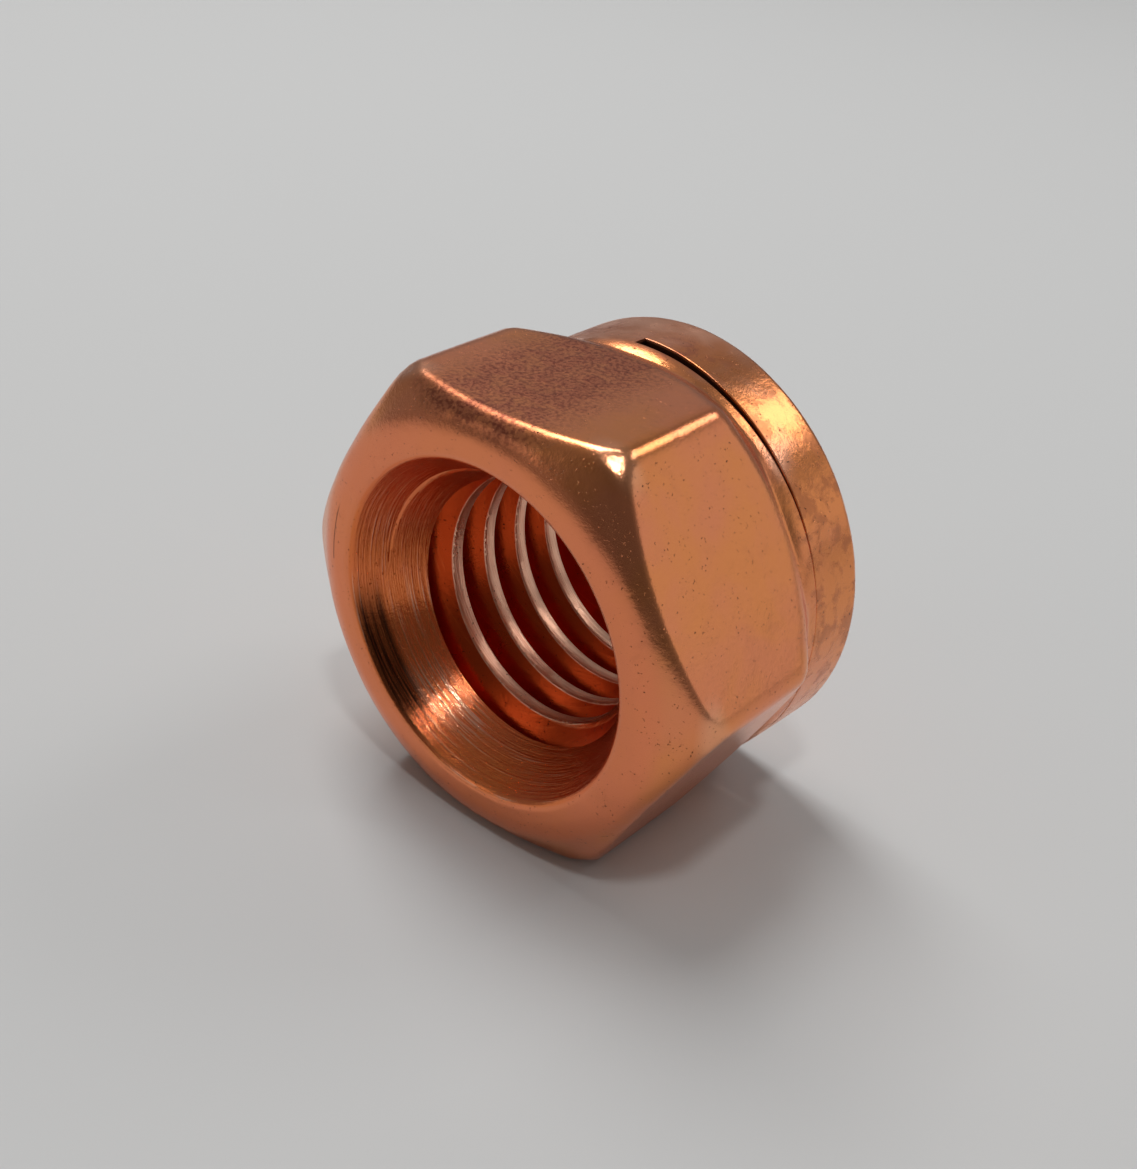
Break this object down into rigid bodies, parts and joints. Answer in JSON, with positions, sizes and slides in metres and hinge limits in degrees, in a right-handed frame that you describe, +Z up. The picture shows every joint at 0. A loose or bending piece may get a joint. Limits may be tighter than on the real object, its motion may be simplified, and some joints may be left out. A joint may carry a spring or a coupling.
{
  "type": "lock nut",
  "caption": "Hexagonal all-metal lock nut, copper-plated, with a round collar that is half sawn through and pressed down so that it grips the bolt.",
  "frame": {"origin": "on the thread axis, midway between the bearing face and the end of the collar", "axes": "+Y along the thread axis from the bearing face to the collar, +Z up, square to the upper flat, with the nut lying on the opposite flat; +X through a corner of the hexagon"},
  "size_m": [0.0138, 0.0082, 0.0122],
  "materials": {
    "copper_plated_steel": "satin copper plating on cold-formed steel"
  },
  "bodies": {
    "root": {"lock_nut": "copper_plated_steel"}
  },
  "joints": []
}
